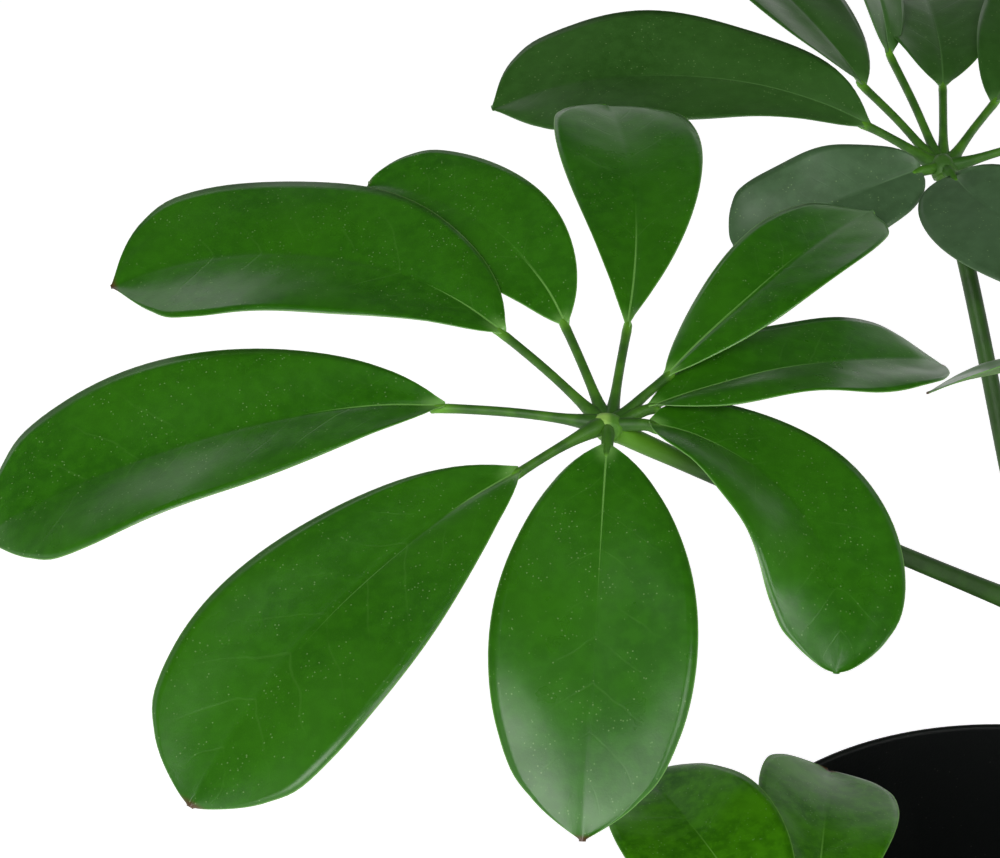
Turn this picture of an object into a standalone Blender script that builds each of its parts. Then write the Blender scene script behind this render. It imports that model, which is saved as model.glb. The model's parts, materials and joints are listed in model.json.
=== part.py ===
"""A potted umbrella plant (dwarf schefflera) in a plain nursery pot.

Origin: centre of the pot's flat underside. +Z is up. All lengths are in metres.
Leaf a, the largest, reaches out towards -X. Each leaf is a stalk (petiole) that ends in a swollen
hub, and a wheel of leaflets around that hub.
"""

import math
import random

import bmesh
import bpy
from mathutils import Matrix, Vector

MM = 0.001
GAP = 0.3 * MM

# Pot
POT_HEIGHT = 165 * MM
POT_RIM_RADIUS = 95 * MM
POT_BASE_RADIUS = 68 * MM
POT_WALL = 2 * MM
POT_FLOOR = 3 * MM
COLLAR_HEIGHT = 30 * MM
COLLAR_STEP = 3 * MM
LIP_RADIUS = 1 * MM
DRAIN_HOLES = 6
DRAIN_RADIUS = 5 * MM
DRAIN_CIRCLE = 45 * MM
POT_SIDES = 40

# Soil
SOIL_TOP = POT_HEIGHT - 45 * MM
SOIL_CROWN = 4 * MM
SOIL_SLOPE_HEIGHT = 2.8 * MM

# Stem
STEM_FOOT = 80 * MM
STEM_TOP = 300 * MM
STEM_FOOT_RADIUS = 7 * MM
STEM_TOP_RADIUS = 4.5 * MM
STEM_STATIONS = 5
STEM_TIP_DROP = 2 * MM
STEM_TIP_SHARE = 0.6
STEM_SIDES = 10

# Petioles
PETIOLE_RADIUS = 2.3 * MM
PETIOLE_BASE_RADIUS = 3.8 * MM
HUB_RADIUS = 4.5 * MM
PETIOLE_SIDES = 7
PETIOLE_STEPS = 9
PETIOLE_REACH = 0.3
PETIOLE_END_REACH = 0.26
HUB_STATIONS = (-50, -20, 15, 50, 75)

# Leaflets
STALK_RADIUS = 0.8 * MM
STALK_STANDOFF = 5.1 * MM
JOINT_RADIUS = 1.5 * MM
BLADE_THICKNESS = 1.2 * MM
BLADE_STATIONS = (0, 0.14, 0.3, 0.46, 0.62, 0.77, 0.9, 1)
BLADE_FOLD = 0.10
BLADE_TIP_SHARE = 0.99
STALK_LAUNCH = math.radians(28)
RING_BLADE_RATIO = 0.45

# Outline of a blade: how it widens from its base, and how it closes at its tip
OVAL = (0.75, 0.62)
PADDLE = (0.8, 0.46)
SPOON = (1.0, 0.4)
ROUND = (0.5, 0.5)
BROAD = (0.5, 0.36)

# Each leaflet below: azimuth of its stalk, sweep (how far the blade curves round from it), tilt (how
# the blade rises or drops at the joint) and roll, in degrees; lengths of its stalk and its blade and
# the blade's width, in millimetres; and its outline.
LEAF_A = [
    (173, 11, -6, -18, 35, 119, 50, PADDLE),
    (215, 8, 0, -12, 22, 112, 51, PADDLE),
    (265, 0, 0, 0, 5, 98, 47, OVAL),
    (355, -50, -10, 0, 5, 86, 39, ROUND),
    (27, -1, -3, 3, 6, 87, 36, PADDLE),
    (46, 4, 5, 4, 16, 91, 29, PADDLE),
    (80, 11, 2, 0, 27, 100, 38, SPOON),
    (108, 24, 1, -22, 29, 80, 35, PADDLE),
    (132, 32, -4, -14, 34, 110, 54, PADDLE),
]
LEAF_B = [
    (208, -14, -3, -33, 3, 57, 32, BROAD),
    (141, 29, -4, -16, 20, 110, 48, PADDLE),
    (121, 4, 7, 12, 33, 92, 38, OVAL),
    (103, 6, 26, 30, 43, 60, 26, OVAL),
    (84, 8, -5, 0, 28, 86, 39, OVAL),
    (56, 9, 4, 0, 26, 88, 38, OVAL),
    (16, 4, 0, 0, 32, 88, 40, OVAL),
    (282, 32, 9, 15, 3, 62, 40, ROUND),
]
LEAF_C = [
    (81, 0, 11, 12, 12, 86, 39, SPOON),
    (113, 0, 17, -12, 12, 80, 42, OVAL),
    (178, 0, 0, 0, 12, 76, 34, OVAL),
    (230, 0, 0, 5, 12, 80, 36, OVAL),
    (280, 0, 0, -5, 12, 78, 35, OVAL),
    (325, 0, 0, 0, 12, 80, 36, OVAL),
    (20, 0, -4, 0, 12, 66, 30, OVAL),
]


def ring(count, first, stalk, blade, seed, first_roll=0):
    """Leaflets spread evenly around a hub, each a little different."""
    chance = random.Random(seed)
    rows = []
    for index in range(count):
        azimuth = first + index * 360 / count + chance.uniform(-4, 4)
        roll = chance.uniform(-8, 8)
        length = blade * chance.uniform(0.9, 1.05)
        if index == 0:
            roll += first_roll
        shape = chance.choice((OVAL, PADDLE))
        rows.append((azimuth, 0, 0, roll, stalk, length, length * RING_BLADE_RATIO, shape))
    return rows


# hub: where the leaflets meet. join: height on the stem. slopes: how steeply the petiole leaves the
# stem and reaches the hub. rise: mean slope of the blades in degrees. lean: how much more those at
# the back (+Y) rise. droop: bend along a blade in degrees.
LEAVES = {
    "a": dict(hub=(-125, -20, 335), join=266, slopes=(0.55, 0.6), rise=-13, lean=21, droop=25,
              leaflets=LEAF_A),
    "b": dict(hub=(-31, 92, 351), join=236, slopes=(1.0, 1.1), rise=-8, lean=16, droop=22,
              leaflets=LEAF_B),
    "c": dict(hub=(-75, -70, 201), join=150, slopes=(0.6, 0.47), rise=-24, lean=8, droop=25,
              leaflets=LEAF_C),
    "d": dict(hub=(60, -55, 370), join=246, slopes=(0.6, 0.47), rise=-14, lean=0, droop=22,
              leaflets=ring(7, 166, 24, 88, 5, 20)),
    "e": dict(hub=(125, 75, 275), join=205, slopes=(0.6, 0.47), rise=-18, lean=6, droop=24,
              leaflets=ring(7, 180, 20, 84, 7)),
    "f": dict(hub=(75, -115, 240), join=180, slopes=(0.6, 0.47), rise=-20, lean=6, droop=24,
              leaflets=ring(7, 185, 20, 84, 9)),
    "g": dict(hub=(75, 95, 420), join=290, slopes=(0.6, 0.47), rise=5, lean=0, droop=20,
              leaflets=ring(5, 200, 12, 56, 11)),
}


def clear_scene():
    for item in list(bpy.data.objects):
        bpy.data.objects.remove(item, do_unlink=True)


def material(name, colour, roughness):
    """A Principled material of one colour."""
    made = bpy.data.materials.new(name)
    made.use_nodes = True
    shader = made.node_tree.nodes["Principled BSDF"]
    shader.inputs["Base Color"].default_value = (*colour, 1)
    shader.inputs["Roughness"].default_value = roughness
    shader.inputs["Metallic"].default_value = 0
    return made


def add_object(name, mesh_maker, made_of):
    """Puts a finished bmesh into the scene as one named object."""
    bmesh.ops.recalc_face_normals(mesh_maker, faces=mesh_maker.faces)
    mesh = bpy.data.meshes.new(name)
    mesh_maker.to_mesh(mesh)
    mesh_maker.free()
    mesh.shade_smooth()
    mesh.set_sharp_from_angle(angle=math.radians(40))
    mesh.materials.append(made_of)
    thing = bpy.data.objects.new(name, mesh)
    bpy.context.scene.collection.objects.link(thing)
    return thing


def skin(rings):
    """A closed body through rings of points, capped at both ends."""
    body = bmesh.new()
    loops = [[body.verts.new(point) for point in ring_points] for ring_points in rings]
    count = len(loops[0])
    for lower, upper in zip(loops, loops[1:]):
        for index in range(count):
            following = (index + 1) % count
            body.faces.new((lower[index], lower[following], upper[following], upper[index]))
    body.faces.new(loops[0])
    body.faces.new(loops[-1])
    return body


def turned(profile, sides):
    """A body turned about Z from (radius, height) points that start and end on the axis."""
    body = bmesh.new()
    first = body.verts.new((0, 0, profile[0][1]))
    last = body.verts.new((0, 0, profile[-1][1]))
    loops = []
    for radius, height in profile[1:-1]:
        loop = []
        for side in range(sides):
            angle = 2 * math.pi * side / sides
            loop.append(body.verts.new((radius * math.cos(angle), radius * math.sin(angle), height)))
        loops.append(loop)
    for side in range(sides):
        following = (side + 1) % sides
        body.faces.new((first, loops[0][side], loops[0][following]))
        body.faces.new((last, loops[-1][side], loops[-1][following]))
        for lower, upper in zip(loops, loops[1:]):
            body.faces.new((lower[side], lower[following], upper[following], upper[side]))
    return body


def wall_radius(height):
    """Outer radius of the tapered wall below the collar."""
    top = POT_RIM_RADIUS - COLLAR_STEP
    share = height / (POT_HEIGHT - COLLAR_HEIGHT)
    return POT_BASE_RADIUS + (top - POT_BASE_RADIUS) * share


def build_pot(plastic):
    shoulder = POT_HEIGHT - COLLAR_HEIGHT
    inner_rim = POT_RIM_RADIUS - POT_WALL
    profile = [
        (0, 0),
        (POT_BASE_RADIUS - LIP_RADIUS, 0),
        (wall_radius(LIP_RADIUS), LIP_RADIUS),
        (wall_radius(shoulder), shoulder),
        (POT_RIM_RADIUS - LIP_RADIUS, shoulder),
        (POT_RIM_RADIUS, POT_HEIGHT - LIP_RADIUS),
        (POT_RIM_RADIUS - LIP_RADIUS, POT_HEIGHT),
        (inner_rim, POT_HEIGHT - LIP_RADIUS),
        (inner_rim - LIP_RADIUS, shoulder + POT_WALL),
        (wall_radius(shoulder) - POT_WALL, shoulder),
        (wall_radius(POT_FLOOR) - POT_WALL, POT_FLOOR),
        (0, POT_FLOOR),
    ]
    pot = add_object("pot", turned(profile, POT_SIDES), plastic)
    holes = bmesh.new()
    for index in range(DRAIN_HOLES):
        turn = Matrix.Rotation(2 * math.pi * index / DRAIN_HOLES, 4, "Z")
        place = turn @ Matrix.Translation((DRAIN_CIRCLE, 0, POT_FLOOR / 2))
        bmesh.ops.create_cone(holes, cap_ends=True, segments=12, radius1=DRAIN_RADIUS,
                              radius2=DRAIN_RADIUS, depth=4 * POT_FLOOR, matrix=place)
    cutter = add_object("drain_hole_cutter", holes, plastic)
    cutter.hide_render = True
    cutter.display_type = "WIRE"
    cut = pot.modifiers.new("drain_holes", "BOOLEAN")
    cut.operation = "DIFFERENCE"
    cut.solver = "EXACT"
    cut.object = cutter


def stem_radius(height):
    share = (height - STEM_FOOT) / (STEM_TOP - STEM_FOOT)
    return STEM_FOOT_RADIUS + (STEM_TOP_RADIUS - STEM_FOOT_RADIUS) * share


def build_soil(peat):
    """The root ball, with a socket where the stem goes in."""
    socket = STEM_FOOT_RADIUS + GAP
    foot = POT_FLOOR + GAP
    wall_gap = POT_WALL + 2 * GAP
    profile = [
        (0, foot),
        (wall_radius(foot) - wall_gap, foot),
        (wall_radius(SOIL_TOP) - wall_gap, SOIL_TOP),
        (POT_BASE_RADIUS / 2, SOIL_TOP + SOIL_SLOPE_HEIGHT),
        (socket, SOIL_TOP + SOIL_CROWN),
        (socket, STEM_FOOT - GAP),
        (0, STEM_FOOT - GAP),
    ]
    add_object("potting_soil", turned(profile, POT_SIDES), peat)


def build_stem(bark):
    profile = [(0, STEM_FOOT), (STEM_FOOT_RADIUS, STEM_FOOT)]
    for station in range(1, STEM_STATIONS):
        share = station / (STEM_STATIONS - 1)
        height = STEM_FOOT + (STEM_TOP - STEM_TIP_DROP - STEM_FOOT) * share
        profile.append((stem_radius(height), height))
    profile.append((STEM_TOP_RADIUS * STEM_TIP_SHARE, STEM_TOP))
    profile.append((0, STEM_TOP))
    add_object("main_stem", turned(profile, STEM_SIDES), bark)


def heading(azimuth, rise):
    flat = math.cos(rise)
    return Vector((flat * math.cos(azimuth), flat * math.sin(azimuth), math.sin(rise)))


def side_of(direction):
    return Vector((0, 0, 1)).cross(direction).normalized()


def bezier(points, share):
    back = 1 - share
    first, second, third, last = points
    return (first * back ** 3 + second * 3 * back ** 2 * share
            + third * 3 * back * share ** 2 + last * share ** 3)


def petiole_path(leaf):
    """Control points from the stem's surface to the middle of the hub."""
    hub = Vector(leaf["hub"]) * MM
    height = leaf["join"] * MM
    out = Vector((hub.x, hub.y, 0)).normalized()
    start = out * (stem_radius(height) + GAP) + Vector((0, 0, height))
    reach = (hub - start).length
    leaving, arriving = leaf["slopes"]
    second = start + (out + Vector((0, 0, leaving))) * reach * PETIOLE_REACH
    third = hub - (out + Vector((0, 0, arriving))) * reach * PETIOLE_END_REACH
    return start, second, third, hub


def build_petiole(name, leaf, green):
    """A tapering stalk with a clasping base and a round hub at its end."""
    path = petiole_path(leaf)
    stations = []
    for step in range(PETIOLE_STEPS):
        share = step / PETIOLE_STEPS
        swell = (PETIOLE_BASE_RADIUS - PETIOLE_RADIUS) * (1 - share) ** 8
        stations.append((bezier(path, share), PETIOLE_RADIUS + swell))
    hub = path[3]
    arrival = (hub - path[2]).normalized()
    for angle in HUB_STATIONS:
        turn = math.radians(angle)
        stations.append((hub + arrival * HUB_RADIUS * math.sin(turn), HUB_RADIUS * math.cos(turn)))
    rings = []
    for index, (point, radius) in enumerate(stations):
        if index == 0:
            along = Vector((path[0].x, path[0].y, 0)).normalized()
        elif index >= PETIOLE_STEPS:
            along = arrival
        else:
            along = (stations[index + 1][0] - stations[index - 1][0]).normalized()
        side = side_of(along)
        up = along.cross(side)
        loop = []
        for number in range(PETIOLE_SIDES):
            angle = 2 * math.pi * number / PETIOLE_SIDES
            loop.append(point + (side * math.cos(angle) + up * math.sin(angle)) * radius)
        rings.append(loop)
    add_object(name, skin(rings), green)


def half_width(share, width, shape):
    """Half the blade's width at a share of its length, widest where the two curves balance."""
    base, end = shape
    widest = base / (base + end)
    peak = widest ** base * (1 - widest) ** end
    return width / 2 * share ** base * (1 - share) ** end / peak


def leaflet_ring(point, along, roll, half, thick, fold):
    """Six points around one cross-section, from the left edge over the top to the right."""
    side = Matrix.Rotation(roll, 3, along) @ side_of(along)
    up = along.cross(side)
    crease = fold * half
    inner = half * 0.5
    return [
        point + side * half + up * crease,
        point + side * inner + up * (crease * 0.4 + thick / 2),
        point - side * inner + up * (crease * 0.4 + thick / 2),
        point - side * half + up * crease,
        point - side * inner + up * (crease * 0.4 - thick / 2),
        point + side * inner + up * (crease * 0.4 - thick / 2),
    ]


def build_leaflet(name, leaf, row, green):
    """A thin stalklet that swells at its joint and opens into a drooping blade."""
    azimuth, sweep, tilt, roll = (math.radians(angle) for angle in row[:4])
    stalk, blade, width = row[4] * MM, row[5] * MM, row[6] * MM
    rise = math.radians(leaf["rise"] + leaf["lean"] * math.sin(azimuth) + leaf["droop"] / 2)
    droop = math.radians(leaf["droop"])
    hub = Vector(leaf["hub"]) * MM
    point = hub + heading(azimuth, STALK_LAUNCH) * STALK_STANDOFF
    along = heading(azimuth, rise)
    rings = [leaflet_ring(point, along, roll, STALK_RADIUS, STALK_RADIUS * 1.6, 0)]
    point = point + along * stalk
    rings.append(leaflet_ring(point, along, roll, JOINT_RADIUS, STALK_RADIUS * 2, 0))
    for before, share in zip(BLADE_STATIONS, BLADE_STATIONS[1:]):
        middle = (before + share) / 2
        along = heading(azimuth + sweep * 2 * middle, rise + tilt - droop * middle)
        point = point + along * blade * (share - before)
        half = max(half_width(min(share, BLADE_TIP_SHARE), width, row[7]), JOINT_RADIUS)
        rings.append(leaflet_ring(point, along, roll, half, BLADE_THICKNESS, BLADE_FOLD))
    add_object(name, skin(rings), green)


def build():
    clear_scene()
    build_pot(material("pot_plastic", (0.012, 0.013, 0.014), 0.5))
    build_soil(material("peat", (0.03, 0.02, 0.013), 0.95))
    build_stem(material("stem_bark", (0.13, 0.16, 0.06), 0.6))
    for letter, leaf in LEAVES.items():
        stalk_green = material("petiole_green_" + letter, (0.10, 0.24, 0.03), 0.4)
        build_petiole("petiole_" + letter, leaf, stalk_green)
        for number, row in enumerate(leaf["leaflets"], start=1):
            blade_green = material(f"leaflet_green_{letter}_{number}", (0.03, 0.13, 0.012), 0.35)
            build_leaflet(f"leaflet_{letter}_{number}", leaf, row, blade_green)


build()
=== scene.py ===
"""The looks of a potted umbrella plant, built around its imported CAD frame.

Every leaf and stalk takes its place, bend and width from the cross-sections of its own CAD node.
All lengths are in metres.
"""

import json
import math
import random

import bmesh
import bpy
import numpy as np
from mathutils import Matrix, Vector, noise


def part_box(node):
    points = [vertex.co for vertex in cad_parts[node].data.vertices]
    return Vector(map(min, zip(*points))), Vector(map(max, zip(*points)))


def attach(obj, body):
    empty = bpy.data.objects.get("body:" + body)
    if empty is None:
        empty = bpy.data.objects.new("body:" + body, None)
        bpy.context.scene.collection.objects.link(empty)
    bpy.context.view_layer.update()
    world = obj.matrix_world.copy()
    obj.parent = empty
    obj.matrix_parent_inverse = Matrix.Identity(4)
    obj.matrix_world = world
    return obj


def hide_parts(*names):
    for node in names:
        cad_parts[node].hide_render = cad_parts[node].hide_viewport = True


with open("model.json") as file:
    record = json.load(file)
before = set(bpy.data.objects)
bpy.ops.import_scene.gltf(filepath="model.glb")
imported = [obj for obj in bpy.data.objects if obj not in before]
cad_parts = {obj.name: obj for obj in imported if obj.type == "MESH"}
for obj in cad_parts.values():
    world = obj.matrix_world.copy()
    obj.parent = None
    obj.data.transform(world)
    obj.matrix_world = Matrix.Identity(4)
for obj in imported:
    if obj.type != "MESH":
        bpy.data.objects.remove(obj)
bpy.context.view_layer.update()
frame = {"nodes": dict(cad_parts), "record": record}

MM = 0.001
CENTIMETRE = 0.01

# Points in one cross-section of a CAD leaflet and of a CAD leaf stalk
LEAFLET_POINTS = 6
PETIOLE_POINTS = 7

# Camera, placed from the centre of the pot's rim
CAMERA_ELEVATION = math.radians(30)
CAMERA_LENS = 100  # millimetres
SENSOR_WIDTH = 36  # millimetres
CAMERA_LEFT = 0.151
CAMERA_ABOVE = 0.137
CAMERA_DISTANCE = 0.765

# Leaflet blade
BLADE_ROWS = 54
BLADE_HALF_COLUMNS = 11
ROW_CROWDING = 1.15
COLUMN_CROWDING = 1.3
SPINE_SAMPLES = 60
NARROWEST_HALF = 0.8 * MM
LOPSIDEDNESS = 0.04
BLADE_THICKNESS = 0.5 * MM
BLADE_EDGE_THICKNESS = 0.18 * MM
BLADE_FOLD = 0.17
FOLD_VARIATION = (0.6, 1.3)
EDGE_DROOP = 0.03
EDGE_WAVES = (1.2, 2.3)
EDGE_WAVE_HEIGHTS = (0.4, 1.1)  # millimetres
TIP_LENGTH = 0.16
TIP_SHARPNESS = (0.36, 0.6)
TIP_NOTCHES = (-0.5, 1.4)  # millimetres
TIP_NOTCH_LENGTH = 0.07
TIP_NOTCH_WIDTH = 2.6 * MM
MIDRIB_GROOVE = 0.3 * MM
MIDRIB_RIB = 0.9 * MM
MIDRIB_WIDTH = 0.8 * MM
VEIN_PAIRS = 9
VEIN_SLANT = 0.17
VEIN_QUILT = 0.045 * MM
SURFACE_SWELL = 1.1 * MM
FULL_SWELL_HALF = 12 * MM
LEAF_GLOSS = 0.4

# Stalklet
STALK_SIDES = 12
STALK_ROWS = 18
STALK_RADIUS = 1.15 * MM
STALK_SOCKET_RADIUS = 2.3 * MM
STALK_JOINT_RADIUS = 1.35 * MM
STALK_SOCKET_REACH = 7 * MM
STALK_JOINT_REACH = 4.2 * MM
STALK_START_DROP = 1.2 * MM
STALK_SEAT_DROP = 1.0 * MM
STALK_INSIDE_HUB = 1.0 * MM
STALK_UNDER_BLADE = 3.5 * MM
STALK_END_DROP = 0.7 * MM
STALK_ARCH = 0.02
FULL_FLARE_LENGTH = 16 * MM

# Petiole
PETIOLE_SIDES = 18
PETIOLE_ROWS = 72
HUB_ROWS = 16
HUB_SECTIONS = 5
NECK_SECTION = 10
HUB_SHRINK = 0.72  # the visible hub is this share of the CAD's radius
HUB_REACH = 12 * MM
NECK_SWELL = 0.5 * MM
NECK_FROM_HUB = 9 * MM
PETIOLE_INTO_STEM = 2.5 * MM
PETIOLE_THINNEST = 0.6 * MM
PETIOLE_FADE = 100 * MM

# Stem
STEM_SIDES = 28
STEM_ROWS = 150
STEM_TAPER = 0.64
NODE_RING = 0.5 * MM
NODE_RING_WIDTH = 1.6 * MM
NODE_RING_BELOW = 5 * MM
SCAR_SPACING = 17 * MM
SCAR_RING = 0.22 * MM
SCAR_WIDTH = 0.9 * MM
BUD_LENGTH = 9 * MM

# Pot
POT_SIDES = 160
POT_WALL = 2 * MM
POT_FLOOR = 3 * MM
COLLAR_HEIGHT = 30 * MM
COLLAR_STEP = 3 * MM
COLLAR_ROUND = 1.0 * MM
COLLAR_CHAMFER = 0.6 * MM
FOOT_ROUND = 1.5 * MM
DRAIN_HOLES = 6
DRAIN_RADIUS = 5 * MM
DRAIN_CIRCLE = 45 * MM
SHARP_EDGE = math.radians(35)

# Stage
FLOOR_SIZE = 16
FLOOR_GLOW = 0.68
SKY_FADE = (0.20, 0.50)
SKY_STRENGTHS = (1.2, 0.04)
LIGHT_TARGET = (-0.05, 0, 0.3)
LIGHT_DISTANCE = 1.9

# Soil
SOIL_RINGS = 46
SOIL_SIDES = 150
SOIL_GRAINS = 520
SOIL_SINK = 1.6 * MM
SOIL_DROP = 4 * MM
SOIL_ROUGHNESS = 1.7 * MM
SOIL_SKIRT = 9 * MM
PERLITE_SHARE = 0.12
PERLITE_SIZES = (0.9, 1.7)  # millimetres
CRUMB_SIZES = (1.0, 2.9)  # millimetres
CRUMB_MARGIN = 4 * MM
CRUMB_SEED = 17


# ---------------------------------------------------------------- reading the frame


def solid(name):
    """The distinct points of a CAD node, and which points share an edge."""
    mesh = frame["nodes"][name].data
    places = np.array([vertex.co for vertex in mesh.vertices])
    keys = np.round(places / (0.01 * MM)).astype(int)
    distinct, which = np.unique(keys, axis=0, return_inverse=True)
    which = which.reshape(-1)
    points = np.zeros((len(distinct), 3))
    points[which] = places
    linked = [set() for _ in distinct]
    for edge in mesh.edges:
        one, other = which[edge.vertices[0]], which[edge.vertices[1]]
        if one != other:
            linked[one].add(other)
            linked[other].add(one)
    return points, linked


def sections(name, distances, count):
    """Cross-sections of a lofted CAD node, walking away from its nearest end."""
    points, linked = solid(name)
    ring = list(np.argsort(distances(points))[:count])
    seen = set(ring)
    found = [points[ring]]
    while True:
        following = {other for index in ring for other in linked[index]} - seen
        if not following:
            return found
        seen |= following
        ring = sorted(following)
        found.append(points[ring])


def smooth_through(values, shares):
    """Catmull-Rom values at each share, from 0 at the first value to 1 at the last."""
    values = np.asarray(values, dtype=float)
    padded = np.vstack([2 * values[0] - values[1], values, 2 * values[-1] - values[-2]])
    place = np.clip(np.asarray(shares), 0, 1) * (len(values) - 1)
    index = np.minimum(place.astype(int), len(values) - 2)
    part = (place - index)[:, None]
    a, b, c, d = (padded[index + offset] for offset in range(4))
    return 0.5 * (2 * b + (c - a) * part + (2 * a - 5 * b + 4 * c - d) * part ** 2
                  + (3 * b - a - 3 * c + d) * part ** 3)


def unit(vectors):
    """The vectors at length one."""
    length = np.linalg.norm(vectors, axis=-1, keepdims=True)
    return vectors / np.maximum(length, 1e-12)


def from_stem(points):
    """Distance of each point from the stem's axis."""
    return np.hypot(points[:, 0], points[:, 1])


def petiole_sections(letter):
    """Cross-sections of a leaf stalk, from the stem to the hub."""
    return sections("petiole_" + letter, from_stem, PETIOLE_POINTS)


def ring_radius(ring):
    """Mean distance of a cross-section's points from their middle."""
    return np.linalg.norm(ring - ring.mean(axis=0), axis=1).mean()


def hub_centre(rings):
    """Middle of the swollen hub: the widest of the last few sections."""
    widest = max(rings[-HUB_SECTIONS:], key=ring_radius)
    return widest.mean(axis=0)


# ---------------------------------------------------------------- materials


class Shader:
    """A Principled material under construction."""

    def __init__(self, name):
        self.material = bpy.data.materials.new(name)
        self.material.use_nodes = True
        self.tree = self.material.node_tree
        self.shader = self.tree.nodes["Principled BSDF"]
        self.space = self.tree.nodes.new("ShaderNodeTexCoord").outputs["Object"]

    def plug(self, socket, value):
        if isinstance(value, bpy.types.NodeSocket):
            self.tree.links.new(value, socket)
        else:
            socket.default_value = value

    def math(self, operation, first, second=0.0):
        node = self.tree.nodes.new("ShaderNodeMath")
        node.operation = operation
        self.plug(node.inputs[0], first)
        self.plug(node.inputs[1], second)
        return node.outputs[0]

    def between(self, value, low, high):
        """0 below low, 1 above high, smooth between; low may be the larger."""
        node = self.tree.nodes.new("ShaderNodeMapRange")
        node.interpolation_type = "SMOOTHSTEP"
        self.plug(node.inputs["Value"], value)
        node.inputs["From Min"].default_value = low
        node.inputs["From Max"].default_value = high
        return node.outputs["Result"]

    def mix(self, share, first, second):
        node = self.tree.nodes.new("ShaderNodeMix")
        node.data_type = "RGBA"
        self.plug(node.inputs["Factor"], share)
        for socket, value in ((node.inputs[6], first), (node.inputs[7], second)):
            self.plug(socket, (*value, 1) if isinstance(value, tuple) else value)
        return node.outputs[2]

    def noise(self, scale, detail=2.0, stretch=(1, 1, 1)):
        mapping = self.tree.nodes.new("ShaderNodeMapping")
        mapping.inputs["Scale"].default_value = stretch
        self.plug(mapping.inputs["Vector"], self.space)
        node = self.tree.nodes.new("ShaderNodeTexNoise")
        node.inputs["Scale"].default_value = scale
        node.inputs["Detail"].default_value = detail
        self.plug(node.inputs["Vector"], mapping.outputs[0])
        return node.outputs["Fac"]

    def cells(self, scale):
        node = self.tree.nodes.new("ShaderNodeTexVoronoi")
        node.inputs["Scale"].default_value = scale
        self.plug(node.inputs["Vector"], self.space)
        return node

    def map(self, name):
        """The two values of a named surface map."""
        node = self.tree.nodes.new("ShaderNodeUVMap")
        node.uv_map = name
        split = self.tree.nodes.new("ShaderNodeSeparateXYZ")
        self.tree.links.new(node.outputs[0], split.inputs[0])
        return split.outputs[0], split.outputs[1]

    def finish(self, colour, roughness, bump=None, bump_height=0.1 * MM, level=0.5):
        self.plug(self.shader.inputs["Base Color"], colour)
        self.plug(self.shader.inputs["Roughness"], roughness)
        self.shader.inputs["Specular IOR Level"].default_value = level
        if bump is not None:
            node = self.tree.nodes.new("ShaderNodeBump")
            node.inputs["Strength"].default_value = 1.0
            node.inputs["Distance"].default_value = bump_height
            self.plug(node.inputs["Height"], bump)
            self.tree.links.new(node.outputs[0], self.shader.inputs["Normal"])
        return self.material


def vein_lines(made, length, across):
    """Faint side veins that leave the midrib at a slant and fade towards the edge."""
    wobble = made.math("MULTIPLY", made.noise(70, 2), 0.5)
    slanted = made.math("SUBTRACT", length, made.math("MULTIPLY", across, VEIN_SLANT))
    phase = made.math("ADD", made.math("MULTIPLY", slanted, VEIN_PAIRS), wobble)
    wave = made.math("PINGPONG", phase, 0.5)
    line = made.between(wave, 0.045, 0.0)
    patchy = made.between(made.noise(55, 2), 0.4, 0.6)
    return made.math("MULTIPLY", made.math("MULTIPLY", line, made.between(across, 0.95, 0.25)), patchy)


def leaf_top(name, deep, light, rib, roughness, gloss=LEAF_GLOSS):
    """Waxy upper leaf skin: mottled green, pale midrib, faint veins, specks of dust."""
    made = Shader(name)
    length, across = made.map("place")
    from_rib, from_edge = made.map("reach")
    colour = made.mix(made.between(made.noise(38, 4), 0.35, 0.7), deep, light)
    drift = made.between(made.noise(11, 1), 0.3, 0.75)
    colour = made.mix(made.math("MULTIPLY", drift, 0.4), colour, light)
    pores = made.between(made.noise(1300, 2), 0.5, 0.75)
    colour = made.mix(made.math("MULTIPLY", pores, 0.5), colour, light)
    blotches = made.between(made.noise(310, 5), 0.36, 0.68)
    paler = tuple(channel * 1.25 for channel in light)
    colour = made.mix(made.math("MULTIPLY", blotches, 0.45), colour, paler)
    veins = vein_lines(made, length, across)
    colour = made.mix(made.math("MULTIPLY", veins, 0.07), colour, rib)
    line = made.math("MULTIPLY", made.between(from_rib, 0.034, 0.014), made.between(length, 0.7, 0.3))
    colour = made.mix(made.math("MULTIPLY", line, 0.75), colour, rib)
    glow = made.math("MULTIPLY", made.between(length, 0.07, 0.0), made.between(from_rib, 0.35, 0.05))
    colour = made.mix(made.math("MULTIPLY", glow, 0.8), colour, rib)
    colour = made.mix(made.math("MULTIPLY", made.between(from_edge, 0.04, 0.010), 0.65), colour, rib)
    scorched = made.math("MULTIPLY", made.between(length, 0.980, 0.995),
                         made.between(made.noise(45, 1), 0.43, 0.55))
    colour = made.mix(scorched, colour, (0.07, 0.035, 0.014))
    dust = made.cells(800)
    speck = made.math("MULTIPLY", made.between(dust.outputs["Distance"], 0.20, 0.08),
                      made.between(made.noise(170, 1), 0.44, 0.60))
    colour = made.mix(made.math("MULTIPLY", speck, 0.42), colour, (0.24, 0.38, 0.15))
    shine = made.math("ADD", made.math("MULTIPLY", made.noise(60, 4), 0.2), roughness - 0.1)
    grain = made.math("MULTIPLY", made.noise(1700, 2), 0.3)
    relief = made.math("SUBTRACT", grain, made.math("MULTIPLY", veins, 0.3))
    relief = made.math("SUBTRACT", relief, made.math("MULTIPLY", line, 0.5))
    relief = made.math("ADD", relief, made.math("MULTIPLY", made.noise(240, 3), 0.7))
    return made.finish(colour, shine, relief, 0.06 * MM, gloss)


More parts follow.
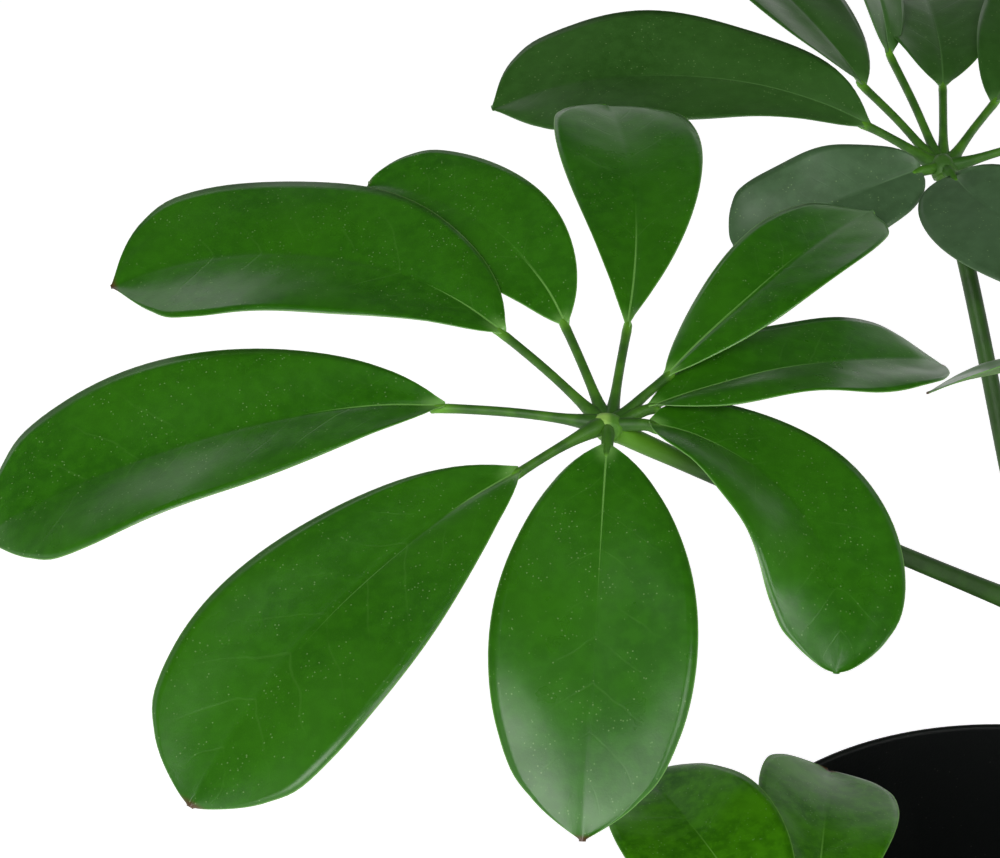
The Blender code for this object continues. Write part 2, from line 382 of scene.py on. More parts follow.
def leaf_under(name, pale, rib):
    """Matt, paler underside with raised veins."""
    made = Shader(name)
    length, across = made.map("place")
    from_rib, _ = made.map("reach")
    colour = made.mix(made.between(made.noise(45, 3), 0.3, 0.7), pale, rib)
    colour = made.mix(0.55, pale, colour)
    veins = vein_lines(made, length, across)
    colour = made.mix(made.math("MULTIPLY", veins, 0.35), colour, rib)
    colour = made.mix(made.between(from_rib, 0.12, 0.06), colour, rib)
    return made.finish(colour, 0.55, made.math("ADD", veins, made.noise(1600, 2)), 0.1 * MM)


def leaf_stalk(name, green, joint):
    """Smooth green stalklet, yellow-green where it meets the blade."""
    made = Shader(name)
    length, _ = made.map("place")
    near_blade = made.between(length, 0.80, 0.97)
    colour = made.mix(made.between(made.noise(160, 3), 0.35, 0.7), green, joint)
    colour = made.mix(0.75, colour, green)
    colour = made.mix(made.math("MULTIPLY", near_blade, 0.8), colour, joint)
    return made.finish(colour, 0.48, made.noise(900, 2, (1, 1, 0.3)), 0.1 * MM, 0.3)


def petiole_skin(name, green, fresh, hub, crown_green):
    """Dark stalk that turns fresh green over its last few centimetres, with a hub of its own colour."""
    made = Shader(name)
    to_hub, _ = made.map("place")
    streaks = made.between(made.noise(120, 3), 0.35, 0.7)
    colour = made.mix(streaks, green, tuple(channel * 1.6 for channel in green))
    colour = made.mix(made.between(to_hub, 0.34, 0.10), colour, fresh)
    colour = made.mix(made.between(to_hub, 0.085, 0.03), colour, hub)
    crown = made.between(to_hub, 0.034, 0.016)
    colour = made.mix(made.math("MULTIPLY", crown, 0.8), colour, crown_green)
    dots = made.cells(520).outputs["Distance"]
    colour = made.mix(made.math("MULTIPLY", made.between(dots, 0.14, 0.06), 0.3), colour, hub)
    return made.finish(colour, 0.5, made.noise(1100, 3), 0.12 * MM, 0.3)


def bark_skin():
    """Green young bark that browns towards the foot, with pale breathing pores."""
    made = Shader("stem_bark_look")
    split = made.tree.nodes.new("ShaderNodeSeparateXYZ")
    made.tree.links.new(made.space, split.inputs[0])
    height = split.outputs[2]
    uneven = made.math("MULTIPLY", made.noise(40, 4), 0.09)
    brown = made.between(made.math("ADD", height, uneven), 0.32, 0.18)
    colour = made.mix(brown, (0.075, 0.135, 0.028), (0.15, 0.115, 0.07))
    streaks = made.math("MULTIPLY", made.noise(260, 5, (1, 1, 0.25)), 0.4)
    colour = made.mix(streaks, colour, (0.05, 0.045, 0.022))
    pores = made.cells(300)
    mark = made.math("MULTIPLY", made.between(pores.outputs["Distance"], 0.28, 0.16),
                     made.between(made.noise(150, 1), 0.46, 0.56))
    colour = made.mix(made.math("MULTIPLY", mark, 0.8), colour, (0.34, 0.29, 0.19))
    relief = made.math("ADD", made.noise(420, 6, (1, 1, 0.35)), made.math("MULTIPLY", mark, 0.8))
    return made.finish(colour, 0.68, relief, 0.35 * MM)


def pot_plastic():
    """Black moulded plastic with a fine grain, faint scuffs and a little dust."""
    made = Shader("pot_plastic_look")
    scuffs = made.between(made.noise(26, 6, (1, 1, 0.3)), 0.5, 0.78)
    colour = made.mix(made.math("MULTIPLY", scuffs, 0.5), (0.0052, 0.0062, 0.0062), (0.014, 0.015, 0.015))
    specks = made.between(made.cells(340).outputs["Distance"], 0.10, 0.05)
    colour = made.mix(made.math("MULTIPLY", specks, 0.12), colour, (0.2, 0.19, 0.17))
    shine = made.math("ADD", made.math("MULTIPLY", scuffs, 0.16), 0.40)
    fine_grain = made.noise(1300, 3)
    ripples = made.math("MULTIPLY", made.noise(30, 2, (1, 1, 0.05)), 1.5)
    relief = made.math("ADD", fine_grain, ripples)
    return made.finish(colour, shine, relief, 0.12 * MM, 0.2)


def peat():
    """Dark, fibrous potting soil."""
    made = Shader("potting_soil_look")
    clods = made.between(made.noise(170, 6), 0.35, 0.7)
    colour = made.mix(clods, (0.009, 0.006, 0.004), (0.045, 0.028, 0.016))
    fibre = made.between(made.noise(420, 4, (1, 0.2, 1)), 0.6, 0.75)
    colour = made.mix(made.math("MULTIPLY", fibre, 0.5), colour, (0.10, 0.065, 0.038))
    relief = made.math("ADD", made.noise(520, 8), made.cells(260).outputs["Distance"])
    return made.finish(colour, 0.92, relief, 1.2 * MM, 0.25)


def perlite():
    """Off-white, chalky grains."""
    made = Shader("perlite_look")
    colour = made.mix(made.noise(300, 4), (0.34, 0.31, 0.27), (0.66, 0.64, 0.58))
    return made.finish(colour, 0.9, made.noise(800, 5), 0.3 * MM, 0.3)


# ---------------------------------------------------------------- mesh helpers


def new_piece(name, points, faces, slots=None, maps=(), materials=()):
    """One mesh object with its materials, its surface maps and smooth shading."""
    mesh = bpy.data.meshes.new(name)
    mesh.from_pydata([tuple(point) for point in points], [], faces)
    if slots is not None:
        mesh.polygons.foreach_set("material_index", slots)
    corner = np.zeros(len(mesh.loops), dtype=int)
    mesh.loops.foreach_get("vertex_index", corner)
    for title, values in zip(("place", "reach"), maps):
        layer = mesh.uv_layers.new(name=title)
        layer.data.foreach_set("uv", np.asarray(values)[corner].astype(np.float32).ravel())
    for made in materials:
        mesh.materials.append(made)
    mesh.validate()
    tidy = bmesh.new()
    tidy.from_mesh(mesh)
    bmesh.ops.recalc_face_normals(tidy, faces=tidy.faces)
    tidy.to_mesh(mesh)
    tidy.free()
    mesh.shade_smooth()
    piece = bpy.data.objects.new(name, mesh)
    bpy.context.scene.collection.objects.link(piece)
    return piece


def place(piece, node, slot):
    """Puts a visible piece in its CAD node's stead."""
    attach(piece, "root")
    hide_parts(node)


def tube(centres, radii, sides, up_hint=(0, 0, 1)):
    """Points, faces and map of a round body along a path, closed at both ends."""
    centres = np.asarray(centres)
    along = unit(np.gradient(centres, axis=0))
    side = unit(np.cross(np.broadcast_to(up_hint, along.shape), along))
    up = np.cross(along, side)
    angle = np.arange(sides) * 2 * math.pi / sides
    around = np.cos(angle)[None, :, None] * side[:, None] + np.sin(angle)[None, :, None] * up[:, None]
    points = centres[:, None] + around * np.asarray(radii).reshape(len(centres), -1, 1)
    rows = len(centres)
    faces = []
    for row in range(rows - 1):
        for number in range(sides):
            following = (number + 1) % sides
            faces.append((row * sides + number, row * sides + following,
                          (row + 1) * sides + following, (row + 1) * sides + number))
    faces.append(tuple(range(sides)))
    faces.append(tuple((rows - 1) * sides + number for number in range(sides)))
    share = np.repeat(np.linspace(0, 1, rows), sides)
    turn = np.tile(np.arange(sides) / sides, rows)
    return points.reshape(-1, 3), faces, np.stack([share, turn], axis=1)


def ring_faces(rings, sides):
    """Faces of a closed body of stacked rings, with one point below them and one above."""
    faces = []
    last = 1 + (rings - 1) * sides
    for side in range(sides):
        following = (side + 1) % sides
        faces.append((0, 1 + side, 1 + following))
        faces.append((last + sides, last + side, last + following))
        for ring in range(rings - 1):
            low, high = 1 + ring * sides, 1 + (ring + 1) * sides
            faces.append((low + side, low + following, high + following, high + side))
    return faces


def turned(profile, sides):
    """Points and faces of a body turned about Z, from a profile that starts and ends on the axis."""
    points = [(0, 0, profile[0][1])]
    for radius, height in profile[1:-1]:
        for side in range(sides):
            angle = 2 * math.pi * side / sides
            points.append((radius * math.cos(angle), radius * math.sin(angle), height))
    points.append((0, 0, profile[-1][1]))
    return points, ring_faces(len(profile) - 2, sides)


# ---------------------------------------------------------------- leaflets


def travelled(points):
    """Share of a path's length reached at each of its points."""
    steps = np.linalg.norm(np.diff(points, axis=0), axis=1)
    return np.concatenate([[0], np.cumsum(steps)]) / steps.sum()


def along_path(values, stations, shares):
    """Smooth values at shares of a path, from values at its stations."""
    return smooth_through(values, np.interp(shares, stations, np.linspace(0, 1, len(stations))))


def leaflet_frame(rings):
    """Middle and crosswise direction of each blade section, and half-widths between the ends."""
    middles = np.array([ring.mean(axis=0) for ring in rings])
    along = unit(np.gradient(middles, axis=0))
    sides, halves = [], []
    for index, ring in enumerate(rings[1:], start=1):
        gaps = np.linalg.norm(ring[:, None] - ring[None], axis=2)
        one, other = np.unravel_index(gaps.argmax(), gaps.shape)
        side = ring[one] - ring[other]
        if np.cross(along[index], side)[2] < 0:
            side = -side
        sides.append(side)
        halves.append(gaps.max() / 2)
    return middles, unit(np.array([sides[0], *sides])), np.array(halves[:-1])


def outline(stations, halves, shares):
    """Half-width at each share: a power curve from the base times one from the tip, as on the CAD."""
    terms = np.stack([np.ones(len(stations)), np.log(stations), np.log(1 - stations)], axis=1)
    size, base, end = np.linalg.lstsq(terms, np.log(halves), rcond=None)[0]
    inside = np.clip(shares, 1e-6, 1 - 1e-6)
    return np.exp(size) * inside ** base * (1 - inside) ** end


def swell(shares, across, chance):
    """Gentle hills and hollows, so that no blade is quite flat."""
    seed = chance.uniform(0, 50)
    return np.array([[noise.noise(Vector((share * 2.6, column * 1.3, seed))) for column in across]
                     for share in shares])


def blade_heights(share, across, half, chance):
    """How far the upper skin stands above the flat blade, at each row and column."""
    row, column = share[:, None], across[None, :]
    out = np.abs(column)
    width = half[:, None]
    fold = BLADE_FOLD * chance.uniform(*FOLD_VARIATION)
    height = width * (fold * np.sqrt(out ** 2 + 0.02) - EDGE_DROOP * out ** 3)
    waves = chance.uniform(*EDGE_WAVES)
    for sign in (-1, 1):
        start = chance.uniform(0, 2 * math.pi)
        reach = chance.uniform(*EDGE_WAVE_HEIGHTS) * MM
        edge = np.where(column * sign > 0, out ** 2, 0)
        height = height + reach * edge * np.sin(2 * math.pi * waves * row + start)
    height = height + SURFACE_SWELL * swell(share, across, chance) * np.minimum(1, width / FULL_SWELL_HALF)
    quilt = np.cos(2 * math.pi * (VEIN_PAIRS * (row - VEIN_SLANT * out)))
    height = height - VEIN_QUILT * quilt * out * (1 - out) * 4 * np.sin(math.pi * row)
    groove = np.exp(-(out * width / MIDRIB_WIDTH) ** 2)
    return height - MIDRIB_GROOVE * groove * (1 - row) ** 0.5


def blade_faces(rows, columns):
    """Faces of two matching sheets of points and of the rim between them, with each face's slot."""
    under = rows * columns
    faces, slots = [], []
    for row in range(rows - 1):
        for column in range(columns - 1):
            corner = row * columns + column
            quad = (corner, corner + 1, corner + columns + 1, corner + columns)
            faces.append(quad)
            slots.append(0)
            faces.append(tuple(under + index for index in reversed(quad)))
            slots.append(1)
    border = list(range(columns))
    border += [row * columns + columns - 1 for row in range(1, rows)]
    border += [(rows - 1) * columns + column for column in range(columns - 2, -1, -1)]
    border += [row * columns for row in range(rows - 2, 0, -1)]
    for index, corner in enumerate(border):
        following = border[(index + 1) % len(border)]
        faces.append((corner, under + corner, under + following, following))
        slots.append(0)
    return faces, slots


def blade_mesh(rings, chance):
    """A thin closed blade: upper skin, lower skin with its raised rib, and the rim between."""
    middles, sides, halves = leaflet_frame(rings)
    stations = travelled(middles)
    share = np.sin(np.linspace(0, math.pi / 2, BLADE_ROWS)) ** ROW_CROWDING
    spine = along_path(middles, stations, share)
    side = unit(along_path(sides, stations, share))
    even = np.linspace(0, 1, SPINE_SAMPLES)
    along = unit(np.gradient(along_path(middles, stations, even), axis=0))
    along = unit(np.stack([np.interp(share, even, along[:, axis]) for axis in range(3)], axis=1))
    up = unit(np.cross(along, side))
    before_tip = np.clip((1 - share) / TIP_LENGTH, 0, 1)
    point = (before_tip * (2 - before_tip)) ** chance.uniform(*TIP_SHARPNESS)
    half = np.maximum(outline(stations[1:-1], halves, share) * point, NARROWEST_HALF)
    steps = np.linspace(-1, 1, 2 * BLADE_HALF_COLUMNS + 1)
    across = np.sign(steps) * np.abs(steps) ** COLUMN_CROWDING
    lopsided = chance.uniform(-LOPSIDEDNESS, LOPSIDEDNESS) * np.sin(math.pi * share)
    spread = half[:, None] * (across[None] + lopsided[:, None] * (1 - across[None] ** 2))
    height = blade_heights(share, across, half, chance)
    notch = chance.uniform(*TIP_NOTCHES) * MM
    near_tip = np.clip((share - (1 - TIP_NOTCH_LENGTH)) / TIP_NOTCH_LENGTH, 0, 1)[:, None] ** 2
    pinch = np.exp(-(spread / TIP_NOTCH_WIDTH) ** 2)
    tip_shift = -notch * near_tip * pinch
    upper = (spine[:, None] + side[:, None] * spread[..., None]
             + up[:, None] * height[..., None] + along[:, None] * tip_shift[..., None])
    out = np.abs(across)[None]
    thick = BLADE_THICKNESS + (BLADE_EDGE_THICKNESS - BLADE_THICKNESS) * out
    rib = MIDRIB_RIB * (1 - share[:, None]) ** 0.7
    thick = thick + rib * np.exp(-(out * half[:, None] / MIDRIB_WIDTH) ** 2)
    lower = upper - up[:, None] * thick[..., None]
    points = np.vstack([upper.reshape(-1, 3), lower.reshape(-1, 3)])
    faces, slots = blade_faces(*upper.shape[:2])
    where = np.stack(np.broadcast_arrays(share[:, None], out), axis=2).reshape(-1, 2)
    from_rib = np.abs(spread) / CENTIMETRE
    from_edge = half[:, None] / CENTIMETRE * (1 - out)
    reach = np.stack([from_rib, from_edge], axis=2).reshape(-1, 2)
    return points, faces, slots, (np.vstack([where, where]), np.vstack([reach, reach]))


def stalk_mesh(start, joint, hub, blade_way):
    """A stalklet from inside the hub to just under the blade, swollen at both ends."""
    start = start - np.array([0, 0, STALK_START_DROP])
    way = unit(start - hub)
    seat = joint - np.array([0, 0, STALK_SEAT_DROP])
    inside, under = hub + way * STALK_INSIDE_HUB, seat + blade_way * STALK_UNDER_BLADE
    path = np.array([inside, start, (start + seat) / 2, seat, under])
    path[4, 2] -= STALK_END_DROP
    path[2, 2] += STALK_ARCH * np.linalg.norm(joint - start)
    share = np.linspace(0, 1, STALK_ROWS)
    centres = along_path(path, travelled(path), share)
    length = travelled(path)[-1] * np.linalg.norm(joint - hub)
    near_hub = np.exp(-(share * length / STALK_SOCKET_REACH) ** 2)
    near_blade = np.exp(-((1 - share) * length / STALK_JOINT_REACH) ** 2)
    flare = min(1, length / FULL_FLARE_LENGTH) ** 1.5
    radii = STALK_RADIUS + (STALK_SOCKET_RADIUS - STALK_RADIUS) * flare * near_hub
    radii = radii + (STALK_JOINT_RADIUS - STALK_RADIUS) * flare * near_blade
    radii[-1] *= 0.5
    radii[-2] *= 0.85
    return tube(centres, radii, STALK_SIDES)


def build_leaflet(name, hub, looks, slot):
    """One leaflet: its blade and its stalklet in one piece."""
    chance = random.Random(name)
    rings = sections(name, lambda points: np.linalg.norm(points - hub, axis=1), LEAFLET_POINTS)
    points, faces, slots, maps = blade_mesh(rings[1:], chance)
    joint = rings[1].mean(axis=0)
    blade_way = unit(rings[2].mean(axis=0) - joint)
    stalk_points, stalk_faces, stalk_map = stalk_mesh(rings[0].mean(axis=0), joint, hub, blade_way)
    offset = len(points)
    faces = faces + [tuple(offset + index for index in face) for face in stalk_faces]
    slots = slots + [2] * len(stalk_faces)
    points = np.vstack([points, stalk_points])
    maps = [np.vstack([values, stalk_map]) for values in maps]
    piece = new_piece("look_" + name, points, faces, slots, maps, looks)
    place(piece, name, slot)


# ---------------------------------------------------------------- stalks, stem, pot and soil


def build_petiole(letter, look):
    """A long leaf stalk: clasping base, slender middle and a knobbly hub."""
    rings = petiole_sections(letter)
    centres = np.array([ring.mean(axis=0) for ring in rings])
    radii = np.array([[ring_radius(ring)] for ring in rings])
    radii[-HUB_SECTIONS:] *= HUB_SHRINK
    inward = centres[0] * np.array([1, 1, 0])
    root = centres[0] - unit(inward) * PETIOLE_INTO_STEM
    centres = np.vstack([root, centres])
    radii = np.vstack([radii[0] * 0.85, radii])
    stations = travelled(centres)
    neck = stations[NECK_SECTION]
    share = np.concatenate([np.linspace(0, neck, PETIOLE_ROWS - HUB_ROWS, endpoint=False),
                            np.linspace(neck, 1, HUB_ROWS)])
    path = along_path(centres, stations, share)
    width = np.maximum(along_path(radii, stations, share)[:, 0], PETIOLE_THINNEST)
    length = np.linalg.norm(np.diff(centres, axis=0), axis=1).sum()
    to_hub = (1 - share) * length
    width = width + NECK_SWELL * np.exp(-((to_hub - NECK_FROM_HUB) / NECK_FROM_HUB) ** 2)
    chance = random.Random("petiole_" + letter)
    shift = chance.uniform(0, 9)
    angle = np.arange(PETIOLE_SIDES) * 2 * math.pi / PETIOLE_SIDES
    ripple = 1 + 0.025 * np.sin(3 * angle[None] + 5 * share[:, None] + shift)
    at_hub = np.clip(1 - to_hub / HUB_REACH, 0, 1)[:, None]
    ripple = ripple + 0.05 * at_hub * np.sin(7 * angle[None] + shift)
    points, faces, grid = tube(path, width[:, None] * ripple, PETIOLE_SIDES)
    grid[:, 0] = np.repeat(to_hub / PETIOLE_FADE, PETIOLE_SIDES)
    name = "petiole_" + letter
    piece = new_piece("look_" + name, points, faces, None, [grid], [look])
    place(piece, name, "petiole")


def build_stem(joins):
    """The upright stem, ringed at each leaf's base, with a pointed bud at its top."""
    low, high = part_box("main_stem")
    foot = (high[0] - low[0]) / 2
    top = foot * STEM_TAPER
    tall = high[2] - low[2]
    share = np.linspace(0, 1, STEM_ROWS)
    height = low[2] + tall * share
    radii = foot + (top - foot) * share
    for join in joins:
        radii = radii + NODE_RING * np.exp(-((height - join + NODE_RING_BELOW) / NODE_RING_WIDTH) ** 2)
    for count in range(1, int(tall / SCAR_SPACING)):
        level = low[2] + count * SCAR_SPACING
        radii = radii + SCAR_RING * np.exp(-((height - level) / SCAR_WIDTH) ** 2)
    bud = np.clip((height - (high[2] - BUD_LENGTH)) / BUD_LENGTH, 0, 1)
    radii = radii * (1 - 0.9 * bud ** 2.2)
    angle = np.arange(STEM_SIDES) * 2 * math.pi / STEM_SIDES
    ripple = 1 + 0.03 * np.sin(3 * angle[None] + 9 * share[:, None])
    centres = np.stack([np.zeros(STEM_ROWS), np.zeros(STEM_ROWS), height], axis=1)
    points, faces, grid = tube(centres, radii[:, None] * ripple, STEM_SIDES, (0, 1, 0))
    piece = new_piece("look_main_stem", points, faces, None, [grid], [bark_skin()])
    place(piece, "main_stem", "stem")


def arc(centre, radius, first, last, steps):
    """Points of a profile's round corner, in degrees from +radius towards +height."""
    for step in range(steps + 1):
        angle = math.radians(first + (last - first) * step / steps)
        yield centre[0] + radius * math.cos(angle), centre[1] + radius * math.sin(angle)


def pot_sizes():
    """Rim radius, base radius and height of the CAD pot."""
    points, _ = solid("pot")
    low = points[:, 2].min()
    flat = points[np.abs(points[:, 2] - low) < 0.05 * MM]
    return from_stem(points).max(), from_stem(flat).max(), points[:, 2].max() - low


def build_pot():
    """A tapered pot with a stepped collar, a rounded lip and drain holes in its floor."""
    rim, base, height = pot_sizes()
    shoulder = height - COLLAR_HEIGHT
    body = rim - COLLAR_STEP
    slope = (body - base) / shoulder
    lip = POT_WALL * 0.6
    profile = [(0, 0)]
    profile += arc((base - FOOT_ROUND, FOOT_ROUND), FOOT_ROUND, -90, -8, 5)
    profile.append((body - COLLAR_CHAMFER, shoulder - COLLAR_CHAMFER))
    profile += arc((rim - COLLAR_ROUND, shoulder + COLLAR_ROUND), COLLAR_ROUND, -90, 0, 4)
    profile += arc((rim - lip, height - lip), lip, 0, 180, 10)
    profile.append((body - POT_WALL - 0.5 * MM, shoulder))
    profile.append((base + slope * POT_FLOOR - POT_WALL, POT_FLOOR))
    profile.append((0, POT_FLOOR))
    points, faces = turned(profile, POT_SIDES)
    piece = new_piece("look_pot", points, faces, None, (), [pot_plastic()])
    holes = bmesh.new()
    for index in range(DRAIN_HOLES):
        turn = Matrix.Rotation(2 * math.pi * index / DRAIN_HOLES, 4, "Z")
        spot = turn @ Matrix.Translation((DRAIN_CIRCLE, 0, POT_FLOOR / 2))
        bmesh.ops.create_cone(holes, cap_ends=True, segments=32, radius1=DRAIN_RADIUS,
                              radius2=DRAIN_RADIUS, depth=4 * POT_FLOOR, matrix=spot)
    mesh = bpy.data.meshes.new("drain_holes")
    holes.to_mesh(mesh)
    holes.free()
    cutter = bpy.data.objects.new("drain_holes", mesh)
    bpy.context.scene.collection.objects.link(cutter)
    cut = piece.modifiers.new("drain_holes", "BOOLEAN")
    cut.operation = "DIFFERENCE"
    cut.object = cutter
    state = bpy.context.evaluated_depsgraph_get()
    piece.data = bpy.data.meshes.new_from_object(piece.evaluated_get(state))
    piece.modifiers.clear()
    bpy.data.objects.remove(cutter, do_unlink=True)
    piece.data.shade_smooth()
    piece.data.set_sharp_from_angle(angle=SHARP_EDGE)
    place(piece, "pot", "pot_plastic")


def grain(chance, centre, size):
    """A small rough lump."""
    lump = bmesh.new()
    bmesh.ops.create_icosphere(lump, subdivisions=1, radius=1)
    stretch = [chance.uniform(0.55, 1.25) for _ in range(3)]
    spin = Matrix.Rotation(chance.uniform(0, 6.3), 3, "Z")
    turn = spin @ Matrix.Rotation(chance.uniform(-0.6, 0.6), 3, "X")
    points = []
    for vertex in lump.verts:
        rough = size * chance.uniform(0.82, 1.18)
        points.append(centre + turn @ Vector(part * scale for part, scale in zip(vertex.co, stretch)) * rough)
    faces = [tuple(vertex.index for vertex in face.verts) for face in lump.faces]
    lump.free()
    return points, faces


def build_soil():
    """A lumpy soil surface strewn with bark crumbs and a little white perlite."""
    low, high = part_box("potting_soil")
    edge = (high[0] - low[0]) / 2
    points, _ = solid("potting_soil")
    base = from_stem(points[np.abs(points[:, 2] - low[2]) < 0.05 * MM]).max()
    crown = high[2]

    def level(x, y):
        out = math.hypot(x, y) / edge
        rough = noise.fractal(Vector((x, y, 0)) * 70, 0.8, 2.2, 5) * SOIL_ROUGHNESS
        return crown - SOIL_SINK - SOIL_DROP * out ** 1.4 + rough * min(1, (1.02 - out) * 8)

    points = [(0, 0, low[2])]
    rings = [(base, low[2]), (edge, crown - SOIL_DROP - SOIL_SKIRT)]
    for radius, height in rings:
        for side in range(SOIL_SIDES):
            angle = 2 * math.pi * side / SOIL_SIDES
            points.append((radius * math.cos(angle), radius * math.sin(angle), height))
    for ring in range(SOIL_RINGS):
        radius = edge * (1 - ring / SOIL_RINGS)
        for side in range(SOIL_SIDES):
            angle = 2 * math.pi * side / SOIL_SIDES
            x, y = radius * math.cos(angle), radius * math.sin(angle)
            points.append((x, y, level(x, y)))
    points.append((0, 0, level(0, 0)))
    faces = ring_faces(len(rings) + SOIL_RINGS, SOIL_SIDES)
    slots = [0] * len(faces)
    chance = random.Random(CRUMB_SEED)
    for _ in range(SOIL_GRAINS):
        radius = (edge - CRUMB_MARGIN) * math.sqrt(chance.uniform(0.015, 1))
        angle = chance.uniform(0, 2 * math.pi)
        x, y = radius * math.cos(angle), radius * math.sin(angle)
        white = chance.random() < PERLITE_SHARE
        size = chance.uniform(*(PERLITE_SIZES if white else CRUMB_SIZES)) * MM
        lump, lump_faces = grain(chance, Vector((x, y, level(x, y) + size * 0.15)), size)
        offset = len(points)
        points += [tuple(point) for point in lump]
        faces += [tuple(offset + index for index in face) for face in lump_faces]
        slots += [1 if white else 0] * len(lump_faces)
    piece = new_piece("look_potting_soil", points, faces, slots, (), [peat(), perlite()])
    place(piece, "potting_soil", "soil")


# ---------------------------------------------------------------- stage


def add_floor():
    """A wide white floor that glows a little, so that it stays white behind the plant."""
    bpy.ops.mesh.primitive_plane_add(size=FLOOR_SIZE, location=(0, 0, 0))
    floor = bpy.context.object
    floor.name = "floor"
    made = Shader("floor_look")
    made.shader.inputs["Emission Color"].default_value = (1, 1, 1, 1)
    made.shader.inputs["Emission Strength"].default_value = FLOOR_GLOW
    floor.data.materials.append(made.finish((0.9, 0.9, 0.9, 1), 0.9, None, level=0.1))


def add_softbox(name, azimuth, elevation, width, height, power):
    """A soft area light that faces the plant. Azimuth 0 is on the camera's side, 90 on its right."""
    lamp = bpy.data.lights.new(name, "AREA")
    lamp.shape = "RECTANGLE"
    lamp.size = width
    lamp.size_y = height
    lamp.energy = power
    box = bpy.data.objects.new(name, lamp)
    turn, rise = math.radians(azimuth), math.radians(elevation)
    out = Vector((math.sin(turn) * math.cos(rise), -math.cos(turn) * math.cos(rise), math.sin(rise)))
    box.location = Vector(LIGHT_TARGET) + out * LIGHT_DISTANCE
    box.rotation_euler = (-out).to_track_quat("-Z", "Y").to_euler()
    bpy.context.scene.collection.objects.link(box)


def add_world():
    """White round the horizon, greyer overhead, so that glossy leaves keep their colour."""
    world = bpy.data.worlds.new("studio")
    world.use_nodes = True
    tree = world.node_tree
    back = tree.nodes["Background"]
    coordinates = tree.nodes.new("ShaderNodeTexCoord")
    split = tree.nodes.new("ShaderNodeSeparateXYZ")
    tree.links.new(coordinates.outputs["Generated"], split.inputs[0])
    fade = tree.nodes.new("ShaderNodeMapRange")
    fade.interpolation_type = "SMOOTHSTEP"
    tree.links.new(split.outputs[2], fade.inputs["Value"])
    fade.inputs["From Min"].default_value = SKY_FADE[0]
    fade.inputs["From Max"].default_value = SKY_FADE[1]
    fade.inputs["To Min"].default_value = SKY_STRENGTHS[0]
    fade.inputs["To Max"].default_value = SKY_STRENGTHS[1]
    tree.links.new(fade.outputs["Result"], back.inputs["Strength"])
    back.inputs["Color"].default_value = (1, 1, 1, 1)
    bpy.context.scene.world = world


def add_camera():
    """A long lens that looks down on leaf a, placed from the middle of the pot's rim."""
    low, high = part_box("pot")
    rim = Vector(((low[0] + high[0]) / 2, (low[1] + high[1]) / 2, high[2]))
    forward = Vector((0, math.cos(CAMERA_ELEVATION), -math.sin(CAMERA_ELEVATION)))
    up = Vector((0, math.sin(CAMERA_ELEVATION), math.cos(CAMERA_ELEVATION)))
    lens = bpy.data.cameras.new("camera")
    lens.lens = CAMERA_LENS
    lens.sensor_width = SENSOR_WIDTH
    camera = bpy.data.objects.new("camera", lens)
    camera.location = rim - Vector((CAMERA_LEFT, 0, 0)) + up * CAMERA_ABOVE - forward * CAMERA_DISTANCE
    camera.rotation_euler = forward.to_track_quat("-Z", "Y").to_euler()
    bpy.context.scene.collection.objects.link(camera)
    bpy.context.scene.camera = camera


def leaf_tops():
    """The upper skins: mature; young, with pale mottles that are painted highlights; a darker copy with
    painted shade for leaf b at the back; and a greyer copy with painted sheen on the two nearest of its
    leaflets.
    """
    mature = leaf_top("leaf_look", deep=(0.013, 0.084, 0.0010), light=(0.022, 0.116, 0.0022),
                      rib=(0.15, 0.34, 0.07), roughness=0.30)
    # Young leaves: vivid green with little gloss, and large pale mottles that are painted highlights.
    young_with_painted_highlights = leaf_top("young_leaf_painted_highlight_look", deep=(0.012, 0.080, 0.0008), light=(0.050, 0.20, 0.0030),
                     rib=(0.15, 0.36, 0.05), roughness=0.25, gloss=0.08)
    # Darker, greyer copy with painted shade, for leaf b at the back.
    shaded = leaf_top("shaded_leaf_look", deep=(0.017, 0.066, 0.0060), light=(0.027, 0.086, 0.013),
                      rib=(0.065, 0.16, 0.038), roughness=0.36)
    # Greyer copy: its grey is painted sheen, for the two nearest leaflets of leaf b.
    painted_sheen_top = leaf_top("painted_sheen_leaf_look", deep=(0.032, 0.074, 0.026), light=(0.048, 0.100, 0.042),
                     rib=(0.085, 0.16, 0.07), roughness=0.42)
    return mature, young_with_painted_highlights, shaded, painted_sheen_top


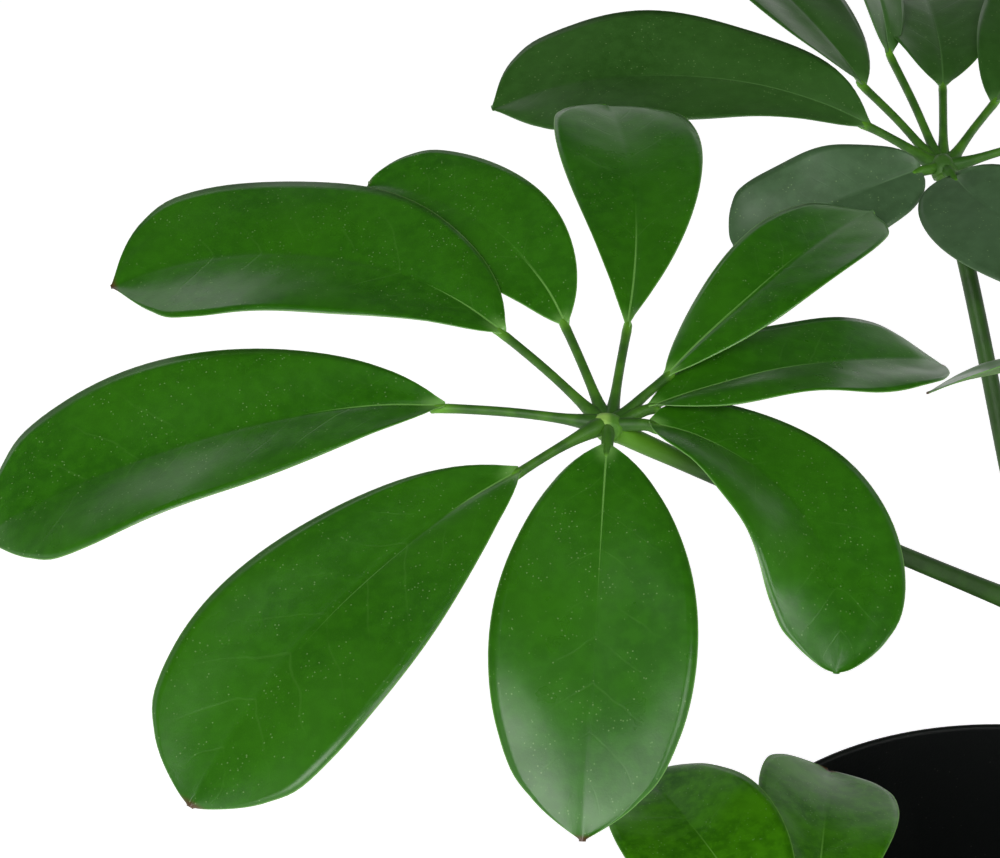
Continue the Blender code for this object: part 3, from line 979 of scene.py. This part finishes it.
def petiole_skins():
    """The leaf stalks' skin, and a darker copy with painted shade for leaf b."""
    green = (0.014, 0.046, 0.004)
    bright = petiole_skin("petiole_look", green, fresh=(0.075, 0.22, 0.008),
                          hub=(0.060, 0.18, 0.016), crown_green=(0.27, 0.46, 0.09))
    # Darker copy with painted shade, for leaf b's stalk and hub at the back.
    painted_shade_petiole = petiole_skin("shaded_petiole_look", green, fresh=(0.045, 0.13, 0.008),
                        hub=(0.030, 0.095, 0.010), crown_green=(0.040, 0.11, 0.016))
    return bright, painted_shade_petiole


def build_plant():
    """Every leaf, then the stem with a ring below each leaf's base."""
    letters = sorted({name[-1] for name in frame["nodes"] if name.startswith("petiole_")})
    under = leaf_under("leaf_underside_look", pale=(0.050, 0.130, 0.022), rib=(0.12, 0.25, 0.05))
    stalk = leaf_stalk("stalklet_look", green=(0.022, 0.082, 0.006), joint=(0.12, 0.34, 0.016))
    mature, young_with_painted_highlights, shaded, painted_sheen_top = leaf_tops()
    bright, painted_shade_petiole = petiole_skins()
    slots = {entry["node"]: entry["material_slot"] for entry in frame["record"]["subparts"]}
    joins = []
    for letter in letters:
        rings = petiole_sections(letter)
        joins.append(rings[0].mean(axis=0)[2])
        hub = hub_centre(rings)
        build_petiole(letter, painted_shade_petiole if letter == "b" else bright)
        for name in sorted(frame["nodes"]):
            if name.startswith("leaflet_" + letter):
                if slots[name] == "leaf_young":
                    top = young_with_painted_highlights
                # The two nearest leaflets of leaf b take the greyer copy with painted sheen.
                elif name in ("leaflet_b_1", "leaflet_b_8"):
                    top = painted_sheen_top
                else:
                    # Leaf b at the back takes the darker copy with painted shade.
                    top = shaded if letter == "b" else mature
                build_leaflet(name, hub, [top, under, stalk], slots[name])
    build_stem(joins)


add_camera()
add_world()
add_floor()
add_softbox("key_light", azimuth=-22, elevation=34, width=1.1, height=0.9, power=22)
add_softbox("fill_light", azimuth=40, elevation=40, width=0.8, height=0.8, power=10)
add_softbox("sheen_light", azimuth=-8, elevation=54, width=0.34, height=0.26, power=1.8)
add_softbox("side_light", azimuth=-62, elevation=76, width=0.3, height=0.3, power=0.45)
add_softbox("back_light", azimuth=-152, elevation=30, width=0.6, height=0.4, power=1.0)
build_plant()
build_soil()
build_pot()
bpy.context.scene.view_settings.view_transform = "Standard"
